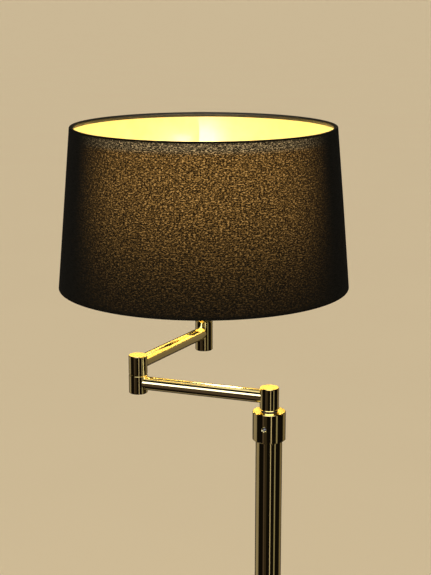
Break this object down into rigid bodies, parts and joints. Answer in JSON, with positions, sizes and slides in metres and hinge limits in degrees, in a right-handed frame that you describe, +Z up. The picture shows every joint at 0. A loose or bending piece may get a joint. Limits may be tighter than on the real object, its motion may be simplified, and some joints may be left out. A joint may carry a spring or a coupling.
{
  "type": "swing-arm floor lamp",
  "caption": "Swing-arm floor lamp: round weighted base, tall polished brass stem, folding brass arm on swivels, and a black tapered drum shade lit from inside.",
  "frame": {"origin": "centre of the base's underside, on the floor and on the stem's axis", "axes": "+Z up the stem; the lamp is looked at along +Y, with +X to the viewer's right"},
  "size_m": [0.409, 0.5384, 1.4],
  "materials": {
    "brass": "mirror polished, clear lacquered",
    "brass_plain": "turned, unpolished",
    "iron": "rough cast, black wash",
    "felt": "black wool felt",
    "steel": "zinc plated",
    "rubber": "moulded, satin",
    "fibre": "dark vulcanised fibre",
    "lead_sheath": "smooth flexible sheath",
    "holder_black": "moulded thermoset, gloss",
    "porcelain": "glazed",
    "wire_white": "white enamel over steel wire",
    "shade_black": "close plain weave, slubbed, translucent when lit",
    "lining_gold": "pale gold laminate, glossy",
    "solder": "dull solder",
    "cap_metal": "rolled, bright",
    "bulb_white": "moulded, satin",
    "opal_glass": "opal, lit from inside"
  },
  "bodies": {
    "stand": {"base_pad": "felt", "base_weight": "iron", "base_cover": "brass", "foot_screws": "steel", "stem_foot": "brass", "foot_grub_screw": "steel", "cable_gland": "rubber", "stem_tube": "brass", "stem_collar": "brass", "swivel_socket": "brass_plain", "collar_grub_screw": "steel", "shoulder_washer": "fibre", "stem_lead": "lead_sheath"},
    "lower_arm": {"shoulder_spindle": "brass_plain", "shoulder_housing": "brass", "shoulder_cap": "brass", "lower_arm_tube": "brass", "elbow_lower_housing": "brass", "elbow_bottom_cap": "brass", "elbow_pin": "brass_plain", "elbow_ring": "brass", "elbow_spring_washer": "steel", "elbow_nut": "brass_plain", "lower_arm_lead": "lead_sheath"},
    "upper_arm": {"elbow_upper_housing": "brass", "elbow_top_cap": "brass", "upper_arm_tube": "brass", "lamp_post": "brass", "post_bottom_cap": "brass", "post_nipple": "steel", "upper_arm_lead": "lead_sheath", "holder_cap": "brass", "nipple_lock_nut": "steel", "holder_sleeve": "brass", "holder_insulator": "porcelain", "terminal_screws": "brass_plain", "screw_shell": "brass_plain", "centre_contact": "brass_plain", "shade_ring_lower": "holder_black", "shade_ring_upper": "holder_black", "shade_carrier": "wire_white", "shade_top_wire": "wire_white", "shade_fabric": "shade_black", "shade_lining": "lining_gold", "shade_top_hem": "shade_black", "shade_bottom_hem": "shade_black", "bulb_tip": "solder", "bulb_button": "holder_black", "bulb_cap": "cap_metal", "bulb_body": "bulb_white", "bulb_globe": "opal_glass"}
  },
  "joints": [
    {"name": "shoulder_swivel", "type": "hinge", "parent": "stand", "child": "lower_arm", "pos_m": [0, 0, 1.0874], "axis": [0, 0, 1], "range_deg": [-150, 150]},
    {"name": "elbow_swivel", "type": "hinge", "parent": "lower_arm", "child": "upper_arm", "pos_m": [-0.1583, 0.05919, 1.113], "axis": [0, 0, 1], "range_deg": [-72, 267]}
  ]
}
